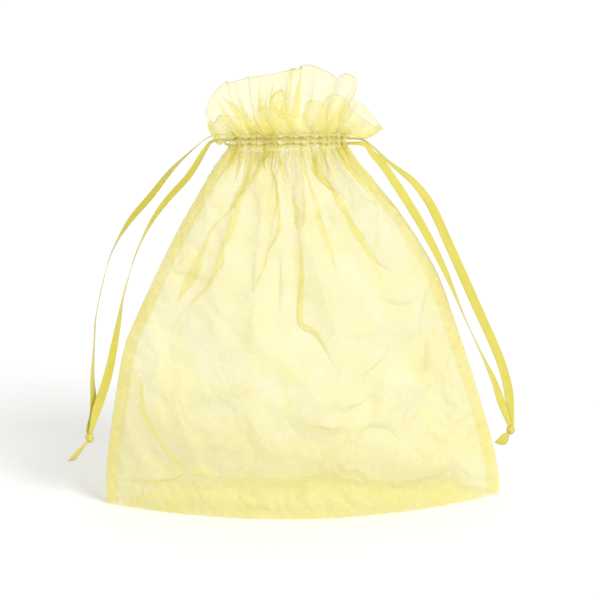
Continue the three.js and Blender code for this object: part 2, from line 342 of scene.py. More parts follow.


# %% [markdown]
# The drawstrings come before the cloth, because they are real lengths that have to fit. A ribbon
# leaves both casings at one end of the neck, and its two strands hang to a shared knot. These are
# the same points, in millimetres, that the solid model follows.

# %% Strand routes
STRANDS = {
    "left_front_strand": [
        (-54.6, -6.5, 223.0), (-59.0, -6.6, 217.5), (-68.0, -6.8, 203.0), (-80.6, -6.8, 189.0),
        (-89.6, -6.6, 176.5), (-96.1, -6.2, 164.0), (-100.9, -5.6, 151.5), (-105.0, -5.0, 139.0),
        (-108.0, -4.4, 126.5), (-110.2, -3.8, 114.0), (-112.6, -3.2, 101.5), (-115.0, -2.6, 89.0),
        (-118.0, -2.0, 77.0), (-121.4, -1.5, 66.5), (-124.6, -1.2, 57.0), (-127.4, -1.0, 46.5),
    ],
    "left_back_strand": [
        (-54.6, 6.5, 223.0), (-62.0, 6.6, 218.0), (-71.0, 6.8, 210.0), (-79.6, 6.8, 201.0),
        (-90.2, 6.6, 187.5), (-101.5, 6.2, 174.5), (-109.3, 5.6, 162.5), (-114.8, 5.0, 150.5),
        (-118.6, 4.4, 138.5), (-121.6, 3.8, 126.0), (-123.6, 3.2, 113.5), (-124.6, 2.7, 101.5),
        (-125.6, 2.2, 89.0), (-126.2, 1.7, 76.5), (-125.8, 1.4, 65.0), (-126.0, 1.2, 56.0),
        (-129.0, 1.0, 46.5),
    ],
    "right_front_strand": [
        (35.6, -6.5, 219.4), (40.0, -6.7, 214.0), (45.6, -6.8, 208.0), (53.0, -6.8, 197.0),
        (60.6, -6.6, 185.0), (68.0, -6.2, 172.5), (74.8, -5.6, 160.0), (81.0, -5.0, 147.5),
        (86.8, -4.4, 134.5), (92.0, -3.8, 122.0), (97.2, -3.2, 109.5), (102.6, -2.6, 97.0),
        (108.8, -2.1, 84.0), (114.4, -1.7, 71.5), (118.4, -1.3, 60.0), (123.6, -1.0, 45.5),
    ],
    "right_back_strand": [
        (35.6, 6.5, 219.4), (42.0, 6.6, 214.5), (50.0, 6.8, 206.5), (58.6, 6.8, 199.5),
        (66.4, 6.7, 192.5), (74.4, 6.4, 182.0), (80.6, 6.0, 170.0), (86.0, 5.4, 157.5),
        (91.6, 4.8, 145.0), (97.2, 4.1, 132.5), (102.6, 3.5, 120.0), (108.2, 2.9, 107.5),
        (113.8, 2.3, 95.0), (119.0, 1.8, 82.0), (122.6, 1.4, 69.5), (124.6, 1.2, 57.5),
        (126.0, 1.0, 45.5),
    ],
}

# %% [markdown]
# A ribbon is flat, and it turns over as it hangs: edge on it looks like a thread, face on it shows
# its whole width. So each strand has its turn, in degrees from face on, at shares of its length.
# A curve with a flat bevel could be swept too, but its twist is hard to steer. Here each station
# gets its own across direction, and a thin closed section is laid over it.

# %% Sweep a ribbon
RIBBON_WIDTH = 6 * MM
RIBBON_THICKNESS = 0.3 * MM
EDGE_SHARE = 0.4  # of its thickness, at its two edges
ACROSS = [-1, -0.93, -0.6, -0.2, 0.2, 0.6, 0.93, 1]
# Round the section: over the face from edge to edge, then back under it
SECTION = [(1, a) for a in ACROSS] + [(-1, a) for a in reversed(ACROSS)]


def across_ribbon(line, turn, upright):
    """The directions along, across and out of a ribbon's face at each point of its line. Before it
    is turned, an upright ribbon stands on its edge, and any other faces the front."""
    run = np.gradient(line, axis=0)
    run /= np.linalg.norm(run, axis=1)[:, None]
    level = np.cross(run, (0.0, -1.0, 0.0))
    if upright:
        level = np.tile((0.0, 0.0, 1.0), (len(line), 1))
    level /= np.linalg.norm(level, axis=1)[:, None]
    out = np.cross(level, run)
    turn = np.radians(turn)[:, None]
    across = np.cos(turn) * level + np.sin(turn) * out
    return run, across, np.cross(across, run)


def closed_ribbon(name, rings, along, half):
    """A thin closed ribbon from the lines that its section's points follow. half is half its
    width, and along is where each of its stations lies on the flat ribbon."""
    points = np.stack(rings, axis=1)
    flat = np.zeros(points.shape[:2] + (2,))
    flat[..., 0] = along[:, None]
    flat[..., 1] = np.array([a for _, a in SECTION]) * half
    obj = grid_object(name, points, flat, SATIN, closed=True)
    close_ends(obj, len(SECTION))
    return obj


def ribbon(name, line, turn, width, camber, slant=0.0, upright=False):
    """A thin closed ribbon along the line. camber bows its section, slant cuts its far end askew."""
    run, across, out = across_ribbon(line, turn, upright)
    stations = len(line)
    width = np.broadcast_to(width, stations)[:, None]
    camber = np.broadcast_to(camber, stations)[:, None]
    share = distances(line) / distances(line)[-1]
    askew = (slant * smooth_step(0.5, 1, share))[:, None]
    rings = []
    for side, a in SECTION:
        half_thick = RIBBON_THICKNESS / 2 * (EDGE_SHARE if abs(a) == 1 else 1)
        lift = camber * (1 - a * a) + side * half_thick
        rings.append(line + across * (a * width / 2) + out * lift + run * (a * askew))
    return closed_ribbon(name, rings, distances(line), width / 2)


# %% [markdown]
# Each strand starts a little inside the end of its casing, where the gathers crush it narrow, and
# opens to its full width outside. The two strands of a drawstring then lie on each other at the
# knot.

# %% How the strands turn
TURNS = {
    "left_front_strand": [
        (0, 60), (0.1, 48), (0.26, 36), (0.36, 62), (0.46, 84), (0.56, 82), (0.68, 50),
        (0.8, 28), (1, 10),
    ],
    "left_back_strand": [
        (0, 80), (0.12, 76), (0.24, 45), (0.36, 34), (0.44, 74), (0.52, 86), (0.74, 82),
        (0.86, 62), (1, 10),
    ],
    "right_front_strand": [
        (0, 65), (0.1, 48), (0.2, 34), (0.4, 38), (0.52, 60), (0.62, 84), (0.74, 88),
        (0.84, 58), (1, 10),
    ],
    "right_back_strand": [
        (0, 85), (0.14, 82), (0.22, 62), (0.32, 28), (0.6, 22), (0.8, 30), (1, 5),
    ],
}
SOFTENED = 15  # stations over which a turn is evened out

# %% Where the strands start
CRUSHED = 0.45  # of its width, inside the casing
INSIDE = 4 * MM  # how far inside the casing a strand starts
NECK_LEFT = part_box("front_casing_outer")[0].x
NECK_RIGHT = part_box("front_casing_outer")[1].x
NECK_END = {"left": NECK_LEFT, "right": NECK_RIGHT}
OUTWARD = {"left": -1, "right": 1}
FACING = {"front": -1, "back": 1}


def strand_line(name):
    """The route, from inside the casing to just inside the knot."""
    side = name.split("_")[0]
    knot_low, knot_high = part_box(side + "_knot")
    into_knot = (knot_low + knot_high) / 2 + Vector((0, 0, 1.5 * MM))
    route = np.array([*(np.array(STRANDS[name]) * MM), into_knot])
    start = route[0] + (0, 0, 0.8 * MM)
    start[0] = NECK_END[side] - OUTWARD[side] * INSIDE
    bend = (start + route[0]) / 2 + (0, 0, 0.7 * MM)
    return line_through([start, bend, *route])


# %% Hanging strands
NARROWED = 0.55  # of its width is lost where it goes into the knot
STRAND_CAMBER = 0.45 * MM
strands = {}
for name in STRANDS:
    line = strand_line(name)
    share = distances(line) / distances(line)[-1]
    marks, degrees = np.transpose(TURNS[name])
    turn = np.interp(share, marks, degrees)
    turn = np.pad(turn, SOFTENED // 2, mode="edge")
    turn = np.convolve(turn, np.ones(SOFTENED) / SOFTENED, mode="valid")
    width = RIBBON_WIDTH * (CRUSHED + (1 - CRUSHED) * smooth_step(0.02, 0.14, share))
    width *= 1 - NARROWED * smooth_step(0.9, 1, share)
    camber = STRAND_CAMBER * np.sin(29 * share + len(name))
    strands[name] = ribbon(name + "_satin", line, turn, width, camber), line
    print(name, "is", round(distances(line)[-1] / MM), "mm long")

# %% [markdown]
# The knot is an overhand knot pulled tight: the ribbon goes round itself, so from outside it shows
# two or three flat bands that wrap a small lump. Each band is a ribbon swept round a tilted ring,
# over a core that fills the middle.

# %% A band round a knot
def band_round(centre, radii, tilt, lean, name):
    """A ribbon once round an ellipse of radii[0] and radii[1], and 2 * radii[2] wide. tilt turns
    its plane about Y, lean about X."""
    angles = np.linspace(0, 2 * math.pi + 0.2, 42) + math.pi / 2  # its ends lap at the back
    ring = np.stack([radii[0] * np.cos(angles), radii[1] * np.sin(angles), 0 * angles], axis=1)
    turn_y = np.array([
        [math.cos(tilt), 0, math.sin(tilt)], [0, 1, 0], [-math.sin(tilt), 0, math.cos(tilt)],
    ])
    turn_x = np.array([
        [1, 0, 0], [0, math.cos(lean), -math.sin(lean)], [0, math.sin(lean), math.cos(lean)],
    ])
    frame_turn = turn_x @ turn_y
    axis = frame_turn @ (0, 0, 1)
    out = np.stack([np.cos(angles) / radii[0], np.sin(angles) / radii[1], 0 * angles], axis=1)
    out /= np.linalg.norm(out, axis=1)[:, None]
    width = radii[2] * (1 + 0.12 * np.sin(3 * angles))[:, None]  # half of it, a little uneven
    rings = []
    for side, a in SECTION:
        lift = (0.25 * MM * (1 - a * a) - 0.5 * MM * a * a + side * RIBBON_THICKNESS / 2) * out
        rings.append(centre + (ring + lift) @ frame_turn.T + a * width * axis)
    return closed_ribbon(name, rings, distances(ring), radii[2])


# %% The core of a knot
def core(centre, radii, name):
    """The lump inside a knot: a fine ball, drawn out and dented where the bands press on it."""
    around, up = 32, 20
    theta = np.linspace(0, 2 * math.pi, around, endpoint=False)
    phi = np.linspace(-0.5, 0.5, up) * math.pi * 0.995
    phi, theta = np.meshgrid(phi, theta, indexing="ij")
    dent = 1 + 0.06 * np.sin(3 * theta + 4 * phi)
    points = np.stack([
        radii[0] * np.cos(phi) * np.cos(theta), radii[1] * np.cos(phi) * np.sin(theta),
        radii[2] * np.sin(phi),
    ], axis=2) * dent[..., None] + centre
    flat = np.stack([theta * radii[0], phi * radii[2]], axis=2)
    obj = grid_object(name, points, flat, SATIN, closed=True)
    close_ends(obj, around)
    return obj


# %% One object from several
def joined(name, pieces):
    edit = bmesh.new()
    for piece in pieces:
        edit.from_mesh(piece.data)
    mesh = bpy.data.meshes.new(name)
    edit.to_mesh(mesh)
    edit.free()
    mesh.materials.append(pieces[0].data.materials[0])
    for piece in pieces:
        bpy.data.objects.remove(piece)
    print(name, "has", len(mesh.polygons), "faces and map", mesh.uv_layers[0].name)
    return add_object(name, mesh)


# %% [markdown]
# The cut tails come out below the knot, opening from narrow to flat. They curl a little, and their
# ends are cut askew, as scissors leave them.

# %% A cut tail
TAIL_STATIONS = 14
TAIL_HIDDEN = 3.4 * MM  # of its length, inside the knot
TAIL_CURL = 0.9 * MM
TAIL_SLANT = 0.9 * MM


def cut_tail(name, knot_centre, facing, lean, length, turn):
    down = np.array([math.sin(lean), 0, -math.cos(lean)])
    start = knot_centre + 1.5 * MM * down + (0, facing * 0.5 * MM, 0)
    reach = np.linspace(0, length * MM + TAIL_HIDDEN, TAIL_STATIONS)[:, None]
    curl = TAIL_CURL * np.sin(reach / reach[-1] * 2.6) * facing
    line = start + reach * down + curl * (0, 1, 0)
    share = np.linspace(0, 1, TAIL_STATIONS)
    width = RIBBON_WIDTH * (0.4 + 0.55 * smooth_step(0.1, 0.6, share))
    turn = np.full(TAIL_STATIONS, turn, float)
    return ribbon(name, line, turn, width, 0.5 * MM, slant=TAIL_SLANT)


# %% Knots and tails
CORE = (2.2 * MM, 1.9 * MM, 2.9 * MM)
WRAP = (2.5 * MM, 2.15 * MM, 1.4 * MM)
CROSS = (2.25 * MM, 1.95 * MM, 1.15 * MM)
TAIL_SWEEP = {
    "left": {"front": (-0.7, 12.6, 50), "back": (-0.6, 11.4, 62)},
    "right": {"front": (-0.72, 6.2, 10), "back": (-0.56, 5.8, -15)},
}  # angle from straight down towards -X, length in millimetres, turn in degrees
knots = {}
tails = {}
for side in OUTWARD:
    low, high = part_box(side + "_knot")
    centre = np.array((low + high) / 2)
    knots[side] = joined(side + "_knot_satin", [
        core(centre, CORE, side + "_core"),
        band_round(centre, WRAP, 0.5, 0.2, side + "_wrap"),
        band_round(centre + (0, 0, 0.8 * MM), CROSS, -0.75, -0.35, side + "_cross"),
    ])
    for place, facing in FACING.items():
        name = side + "_" + place + "_tail"
        tails[name] = cut_tail(name + "_satin", centre, facing, *TAIL_SWEEP[side][place])

# %% [markdown]
# The body is one length of organza folded at the bottom and sewn up both sides. Drawn shut, it is
# wide and deep at the foot and flat and narrow at the neck. A point on it has a height t, from 0 at
# the foot to 1 at the neck, and a place s, from -1 at the left seam to 1 at the right one. The
# depth follows the solid model's rule. The sewn sides are not quite even, so they are chosen points
# near the solid model's. A lofted grid gives a smooth shell to lay the folds on.

# %% Outline of the body
BASE_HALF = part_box("front_panel")[1].x
BODY_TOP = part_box("front_panel")[1].z
NECK_MIDDLE = (NECK_LEFT + NECK_RIGHT) / 2
NECK_HALF = (NECK_RIGHT - NECK_LEFT) / 2
BASE_DEPTH = 40 * MM
NECK_DEPTH = 8.4 * MM
BELLY = 18 * MM
SEAM_GAP = 1.3 * MM  # from the middle of the seam to each panel's edge
# Height, left edge and right edge of the sewn sides in millimetres, chosen one by one
SIDES = [
    (0.0, -118.6, 118.8), (14.0, -119.2, 118.2), (27.0, -118.2, 115.6), (39.5, -116.6, 112.4),
    (52.0, -114.9, 108.9), (64.4, -112.9, 105.2), (76.8, -111.0, 101.3), (89.2, -109.0, 97.3),
    (101.5, -105.8, 93.2), (113.8, -100.4, 89.0), (126.0, -95.0, 85.0), (138.1, -89.4, 80.4),
    (150.3, -83.6, 74.0), (162.4, -77.6, 66.6), (174.4, -71.3, 58.6), (186.4, -64.2, 49.6),
    (198.4, -57.4, 40.0), (206.0, -52.5, 33.0), (213.0, -47.6, 28.0), (217.7, -44.5, 25.5),
]
side_heights, left_edge, right_edge = np.transpose(SIDES) * MM


# %% The smooth body
def edges_at(t):
    height = t * BODY_TOP
    return np.interp(height, side_heights, left_edge), np.interp(height, side_heights, right_edge)


def half_width(t):
    left, right = edges_at(t)
    return (right - left) / 2


def half_depth(t):
    return NECK_DEPTH + (BASE_DEPTH - NECK_DEPTH) * (1 - t * t) + BELLY * np.sin(math.pi * t)


def shell(s, t, facing):
    """The smooth body at s and t. facing is -1 for the front and 1 for the back."""
    bow = 2 + 6 * t ** 3
    depth = SEAM_GAP + (half_depth(t) - SEAM_GAP) * (1 - np.abs(s) ** bow)
    middle = np.add(*edges_at(t)) / 2
    return np.stack([middle + s * half_width(t), facing * depth, t * BODY_TOP], axis=-1)


# %% [markdown]
# Drawing the cord gathers 254 mm of cloth into 70 mm. The cloth meanders in and out, with folds
# that are never quite alike. One function gives that meander at a place u across the flat width.
# Body, casing and frill all use it, so their gathers meet.

# %% Gathers
GATHERS = 18
GATHER_DEPTH = 2.8 * MM
GATHER_SWAY = 1.2 * MM  # sideways, which makes each fold wider than its mouth
FLAT_WIDTH = 254 * MM
draw = np.random.default_rng(31)
gather_edges = np.concatenate([[0], np.cumsum(draw.uniform(0.5, 1.5, GATHERS))])
gather_edges /= gather_edges[-1]
gather_centres = (gather_edges[1:] + gather_edges[:-1]) / 2
gather_sizes = draw.uniform(0.45, 1.3, GATHERS)


def gather_phase(u):
    """How far through the gathers flat place u is, with 2 pi for each."""
    return 2 * math.pi * np.interp(u, gather_edges, np.arange(GATHERS + 1))


def gather(u):
    """Sideways and outward shift of the gathered cloth at flat place u, from 0 to 1."""
    phase = gather_phase(u)
    size = np.interp(u, gather_centres, gather_sizes)
    size = size * smooth_step(0, 0.03, u) * smooth_step(0, 0.03, 1 - u)
    return -GATHER_SWAY * size * np.sin(2 * phase), GATHER_DEPTH * size * np.sin(phase)


# %% [markdown]
# Folds give the cloth its character. Below the neck the gathers run down as pleats that fade at
# different heights and fan out. Lower down are longer folds, chosen one by one as a line of (s, t)
# points, each with its width, its depth (outwards is positive) and its tuck. A tuck over 1 pulls
# the cloth back over itself, so that three plies lie on each other and the fold reads darker.

# %% Folds chosen one by one
FOLDS = {
    -1: [
        ([(0.05, 0.98), (0.035, 0.85), (0.013, 0.7), (0.0, 0.58), (0.11, 0.545), (0.232, 0.45)],
         4.4, -3.0, 2.35),
        ([(-0.25, 0.98), (-0.163, 0.827), (-0.286, 0.745)], 4.0, -2.4, 2.0),
        ([(-0.15, 0.76), (-0.141, 0.6)], 3.4, -1.8, 1.2),
        ([(0.2, 0.98), (0.235, 0.87), (0.3, 0.77), (0.31, 0.68)], 4.0, -2.4, 2.2),
        ([(0.36, 0.99), (0.42, 0.93), (0.56, 0.84), (0.68, 0.73), (0.8, 0.655)], 5.4, -3.2, 2.4),
        ([(-0.5, 0.99), (-0.56, 0.93), (-0.66, 0.775), (-0.75, 0.64), (-0.84, 0.53)], 6.0, -3.4, 1.8),
        ([(-0.74, 0.97), (-0.806, 0.899), (-0.845, 0.796), (-0.87, 0.661), (-0.88, 0.548)],
         5.0, 3.0, 0.2),
        ([(-0.1, 0.99), (-0.07, 0.92), (-0.06, 0.86)], 3.4, -2.4, 2.2),
        ([(0.42, 0.99), (0.5, 0.95), (0.62, 0.9)], 4.0, -2.4, 2.0),
        ([(-0.38, 0.99), (-0.42, 0.94), (-0.5, 0.88)], 3.6, -2.4, 2.1),
        ([(-0.894, 0.40), (-0.86, 0.283), (-0.72, 0.185), (-0.59, 0.106)], 7.0, -4.0, 0.9),
        ([(-0.64, 0.34), (-0.55, 0.2), (-0.44, 0.13)], 8.0, 3.0, 0.3),
        ([(-0.937, 0.075), (-0.714, 0.091), (-0.442, 0.16)], 5.0, -2.2, 0.8),
        ([(-0.6, 0.12), (-0.04, 0.111), (0.475, 0.093), (0.95, 0.05)], 8.0, -1.6, 0.2),
        ([(0.928, 0.633), (0.86, 0.56), (0.819, 0.48), (0.741, 0.36)], 5.0, -3.0, 1.2),
        ([(0.86, 0.5), (0.86, 0.38), (0.9, 0.22)], 5.0, 2.6, 0.3),
        ([(0.57, 0.627), (0.68, 0.60), (0.798, 0.594)], 5.0, -2.0, 0.5),
        ([(0.192, 0.339), (0.33, 0.35), (0.457, 0.374)], 5.5, -2.0, 0.5),
        ([(0.389, 0.43), (0.5, 0.44), (0.594, 0.472)], 5.0, -1.8, 0.5),
        ([(0.0, 0.40), (0.2, 0.385), (0.42, 0.36)], 7.0, 2.4, 0.2),
        ([(-0.34, 0.64), (-0.2, 0.52), (0.0, 0.47)], 9.0, 3.6, 0.2),
        ([(-0.72, 0.42), (-0.56, 0.46), (-0.40, 0.52)], 8.0, -3.0, 0.3),
        ([(0.12, 0.86), (0.15, 0.74), (0.2, 0.62), (0.28, 0.52)], 6.0, 3.4, 0.2),
        ([(0.30, 0.30), (0.52, 0.24), (0.66, 0.12)], 7.0, -2.8, 0.6),
        ([(-0.25, 0.36), (-0.06, 0.28), (0.2, 0.26)], 9.0, -1.6, 0.2),
    ],
    1: [
        ([(-0.1, 0.98), (-0.14, 0.84), (-0.2, 0.66), (-0.32, 0.5)], 4.0, -3.4, 1.4),
        ([(0.2, 0.98), (0.16, 0.85), (0.1, 0.7)], 3.6, -2.6, 1.3),
        ([(0.42, 0.98), (0.5, 0.83), (0.62, 0.66), (0.78, 0.5)], 5.0, -3.6, 1.5),
        ([(-0.42, 0.98), (-0.55, 0.85), (-0.72, 0.7), (-0.86, 0.52)], 5.0, -3.6, 1.5),
        ([(-0.7, 0.36), (-0.4, 0.28), (-0.1, 0.33), (0.2, 0.28)], 7.0, -3.2, 0.5),
        ([(0.1, 0.5), (0.34, 0.42), (0.6, 0.44)], 7.0, 3.0, 0.4),
        ([(0.86, 0.4), (0.7, 0.24), (0.5, 0.12)], 6.0, -3.4, 0.7),
        ([(-0.86, 0.3), (-0.66, 0.16), (-0.3, 0.1)], 6.0, -3.0, 0.7),
        ([(-0.1, 0.2), (0.2, 0.14), (0.55, 0.16)], 5.0, 2.4, 0.3),
    ],
}
print("folds chosen:", {facing: len(folds) for facing, folds in FOLDS.items()})

# %% [markdown]
# To lay a fold, each point of the cloth needs its signed distance from the fold's line, in
# millimetres on the flat cloth. A bell curve of that distance gives the depth, its slope gives the
# sideways pull of the tuck, and both fade towards the line's ends.

# %% Lay a fold
FOLD_STRENGTH = 1.5  # one dial for all the chosen depths
FOLD_LEAN = 0.8  # a fold stands higher on one side of its line


def beside(flat, line):
    """For each point of flat: its distance from a line, that distance with its sign, the share
    of the line's length at the nearest place, and the direction that counts as positive."""
    best = np.full(flat.shape[:2], np.inf)
    signed = np.zeros(flat.shape[:2])
    share = np.zeros(flat.shape[:2])
    side = np.zeros(flat.shape)
    lengths = distances(line)
    for a, b, start, end in zip(line[:-1], line[1:], lengths[:-1], lengths[1:]):
        step = b - a
        k = np.clip(((flat - a) @ step) / (step @ step), 0, 1)
        off = flat - (a + k[..., None] * step)
        apart = np.linalg.norm(off, axis=2)
        across = np.array([step[1], -step[0]]) / np.linalg.norm(step)
        nearer = apart < best
        best = np.where(nearer, apart, best)
        signed = np.where(nearer, off @ across, signed)
        share = np.where(nearer, (start + k * (end - start)) / lengths[-1], share)
        side = np.where(nearer[..., None], across, side)
    return best, signed, share, side


def lay_fold(flat, fold):
    """Outward shift, and shift in the plane of the cloth, that one fold makes."""
    points, width, depth, tuck = fold
    width, depth = width * MM, depth * MM * FOLD_STRENGTH
    line = line_through([(s * half_width(t), t * BODY_TOP) for s, t in points])
    apart, signed, share, side = beside(flat, line)
    bell = np.exp(-(apart / width) ** 2)
    fade = smooth_step(-0.05, 0.2, share) * smooth_step(-0.05, 0.25, 1 - share)
    outward = depth * bell * fade * (1 + FOLD_LEAN * signed / width)
    sideways = -tuck * signed * bell * fade
    return outward, sideways[..., None] * side


# %% [markdown]
# Between the folds, crisp thin cloth crumples: flat facets that meet in faint sharp creases. Ridged
# noise has that look, because folding smooth noise at zero leaves a crease there.

# %% Crumple
def crumple(points, cell, seed):
    """Ridged noise at each point: 0 on a crease, up to about 1 between creases."""
    flat_points = points.reshape(-1, 3) / cell + seed
    values = [abs(noise.noise(Vector(p))) for p in flat_points]
    return np.array(values).reshape(points.shape[:2]) * 2


# %% [markdown]
# One function dresses a panel, from the widest shapes to the finest: the pleats that hang from the
# neck, a broad swell under them, the chosen folds, and crumples of three sizes.

# %% Dress a panel
COLUMNS = 193
ROWS = 141
SLOW_PLEAT = 2.6 * MM
BROAD_SWELL = 2.4 * MM
CRUMPLES = ((0.045, 3.2 * MM, 3.7), (0.02, 1.3 * MM, 8.1), (0.009, 0.45 * MM, 5.3))
# (size of a facet in metres, height, seed)
LOWEST = 0.3 * MM  # of any cloth, over the floor


def dressed_panel(facing):
    """Points of one panel's cloth, with pleats, folds and crumples laid on the smooth shell."""
    s, t = np.meshgrid(np.linspace(-1, 1, COLUMNS), np.linspace(0, 1, ROWS))
    points = shell(s, t, facing)
    across = np.gradient(points, axis=1)
    upward = np.gradient(points, axis=0)
    outward = np.cross(across, upward) * -facing
    outward /= np.linalg.norm(outward, axis=2)[..., None]
    u = (s + 1) / 2

    # Gathers: the finest fade soonest, and each has its own length
    below = 1 - t
    lengths = np.random.default_rng(5 + facing).uniform(0.035, 0.1, GATHERS)
    reach = np.interp(u[0], gather_centres, lengths)
    fine = np.exp(-(below / reach) ** 2)
    sway, swell = gather(u)
    lift = swell * fine
    drift = sway * fine
    slow = gather_phase(u) / 2.4 + facing
    slow_reach = 0.26 + 0.1 * np.sin(9 * u + facing)
    slow_fade = np.exp(-(below / slow_reach) ** 2)
    lift = lift + SLOW_PLEAT * np.sin(slow) * slow_fade * smooth_step(0, 0.08, below)
    broad = np.sin(3.2 * math.pi * s + 0.7 * facing)
    lift = lift + BROAD_SWELL * broad * np.exp(-((below - 0.3) / 0.3) ** 2)

    flat = np.stack([s * half_width(t), t * BODY_TOP], axis=2)
    moved = np.zeros(flat.shape)
    for fold in FOLDS[facing]:
        out, plane = lay_fold(flat, fold)
        lift = lift + out
        moved += plane

    for cell, height, seed in CRUMPLES:
        facets = crumple(points, cell, seed + 11 * facing)
        lift = lift + height * (facets - 0.4) * smooth_step(0.02, 0.2, below)

    # The seams and the foot hold the cloth
    held = smooth_step(0, 0.07, 1 - np.abs(s)) * smooth_step(0, 0.03, t)
    neck = smooth_step(0.9, 1, t)
    held = np.maximum(held, neck * smooth_step(0, 0.02, 1 - np.abs(s)))
    points = points + outward * (lift * held)[..., None]
    points[..., 0] += drift * held + moved[..., 0] * held
    points[..., 2] += moved[..., 1] * held
    points[..., 2] = np.clip(points[..., 2], LOWEST, BODY_TOP)
    return points, np.stack([u * FLAT_WIDTH, t * BODY_TOP], axis=2)


# %% [markdown]
# Chosen folds look drawn unless the cloth between them has settled. So the cloth is simulated: it
# grows a few hundredths against its own held edges and buckles into wrinkles between them. It is
# held at the seams, the foot and the neck. The simulation runs on a coarser grid, how far a point
# may move is capped, and only the movement is kept, so no Cloth modifier stays on the piece.

# %% A finer grid
def finer(values):
    """A grid at twice the resolution, each new point between its neighbours."""
    rows, columns = values.shape[:2]
    tall = np.empty((2 * rows - 1, columns) + values.shape[2:])
    tall[::2] = values
    tall[1::2] = (values[1:] + values[:-1]) / 2
    wide = np.empty((2 * rows - 1, 2 * columns - 1) + values.shape[2:])
    wide[:, ::2] = tall
    wide[:, 1::2] = (tall[:, 1:] + tall[:, :-1]) / 2
    return wide


# %% Settle the cloth
SETTLE_FRAMES = 26
GROWTH = 0.06
MOST_MOVE = 7 * MM
STIFFNESS = {
    "quality": 6, "mass": 0.08, "air_damping": 4, "tension_stiffness": 12,
    "compression_stiffness": 12, "shear_stiffness": 5, "bending_stiffness": 0.05,
}  # light, crisp cloth: hard to stretch, easy to bend


def settled(points, flat):
    """The movement of each point as the cloth grows and buckles."""
    coarse = points[::2, ::2]
    rows, columns = coarse.shape[:2]
    cloth_object = grid_object("settling_cloth", coarse, flat[::2, ::2], ORGANZA)
    held = cloth_object.vertex_groups.new(name="held")
    s, t = np.meshgrid(np.linspace(-1, 1, columns), np.linspace(0, 1, rows))
    hold = np.maximum.reduce([
        smooth_step(0.93, 1, np.abs(s)), smooth_step(0.93, 1, 1 - t), smooth_step(0.8, 1, t),
    ])
    for i, weight in enumerate(hold.ravel()):
        held.add([i], float(weight), "REPLACE")
    modifier = cloth_object.modifiers.new("cloth", "CLOTH")
    settings = modifier.settings
    for setting, value in STIFFNESS.items():
        setattr(settings, setting, value)
    settings.shrink_min = -GROWTH
    settings.vertex_group_mass = "held"
    settings.effector_weights.gravity = 0.15
    modifier.point_cache.frame_end = SETTLE_FRAMES
    scene = bpy.context.scene
    for frame_number in range(1, SETTLE_FRAMES + 1):
        scene.frame_set(frame_number)
    evaluated = cloth_object.evaluated_get(bpy.context.evaluated_depsgraph_get())
    after = np.array([v.co for v in evaluated.data.vertices]).reshape(coarse.shape)
    scene.frame_set(1)
    bpy.data.objects.remove(cloth_object)
    move = after - coarse
    size = np.linalg.norm(move, axis=2)[..., None]
    print("settled: mean move", round(size.mean() / MM, 2), "mm, most", round(size.max() / MM, 1))
    move *= MOST_MOVE * np.tanh(size / MOST_MOVE) / np.maximum(size, 1e-9)
    return finer(move)


# %% Both panels
panels = {name: dressed_panel(facing) for name, facing in FACING.items()}
for name, (points, flat) in panels.items():
    points = points + settled(points, flat)
    points[..., 2] = np.clip(points[..., 2], LOWEST, BODY_TOP)
    panels[name] = points, flat
for name, (points, _) in panels.items():
    deepest = np.abs(points[..., 1]).max()
    print(name, "panel stands", round(deepest / MM, 1), "mm from the middle")

# %% [markdown]
# A panel is split down its middle, because the left half of the cloth is drawn along by one end of
# the neck and the right half by the other. The halves share their normals at the split, so no line
# shows there. Both belong to one body of cloth and stay in one place at the split.

# %% Normals and crowding
def grid_normals(points, outward_side):
    normals = np.cross(np.gradient(points, axis=1), np.gradient(points, axis=0)) * outward_side
    return normals / np.maximum(np.linalg.norm(normals, axis=2), 1e-12)[..., None]


def blurred(values, reach):
    """Each value's mean with its neighbours in the grid, up to reach rows and columns away."""
    kernel = np.ones(2 * reach + 1) / (2 * reach + 1)
    for axis in (0, 1):
        padded = np.apply_along_axis(lambda line: np.pad(line, reach, mode="edge"), axis, values)
        values = np.apply_along_axis(
            lambda line: np.convolve(line, kernel, mode="valid"), axis, padded,
        )
    return values


def crowding_of(normals, reach):
    """How steep each point of the cloth stands to the cloth around it: 0 flat, 1 edge on."""
    around = np.stack([blurred(normals[..., i], reach) for i in range(3)], axis=2)
    around /= np.maximum(np.linalg.norm(around, axis=2), 1e-9)[..., None]
    return np.clip(1 - np.abs((normals * around).sum(axis=2)), 0, 1)


# %% Cut a cloth in two halves
def halves(stem, points, flat, normals, crowding, middle, material, facing):
    """The left and the right half of a cloth grid, cut at its middle column, faces outwards."""
    pieces = {}
    for side, columns in (("left", slice(0, middle + 1)), ("right", slice(middle, None))):
        part = [a[:, columns] for a in (points, flat, normals, crowding)]
        if facing > 0:
            part = [a[:, ::-1] for a in part]
        piece = stem + "_" + side
        obj = grid_object(piece + "_organza", part[0], part[1], material)
        obj.data.normals_split_custom_set_from_vertices(part[2].reshape(-1, 3).tolist())
        attribute = obj.data.attributes.new("crowding", "FLOAT", "POINT")
        attribute.data.foreach_set("value", part[3].ravel().astype(np.float32))
        pieces[piece] = obj
    return pieces


body_pieces = {}
for name, (points, flat) in panels.items():
    normals = grid_normals(points, -FACING[name])
    crowding = crowding_of(normals, 8)
    print(name, "crowding: mean", round(crowding.mean(), 3), "most", round(crowding.max(), 2))
    body_pieces |= halves(
        name + "_body", points, flat, normals, crowding, COLUMNS // 2, ORGANZA, FACING[name],
    )

# %% [markdown]
# Inside the casings each ribbon is crushed to a fifth of its width and winds along with the gathers.
# It goes in through one casing, round the far end of the neck and back through the other. Only a
# shadow of it shows through the cloth, and its turn shows at the end of the neck.

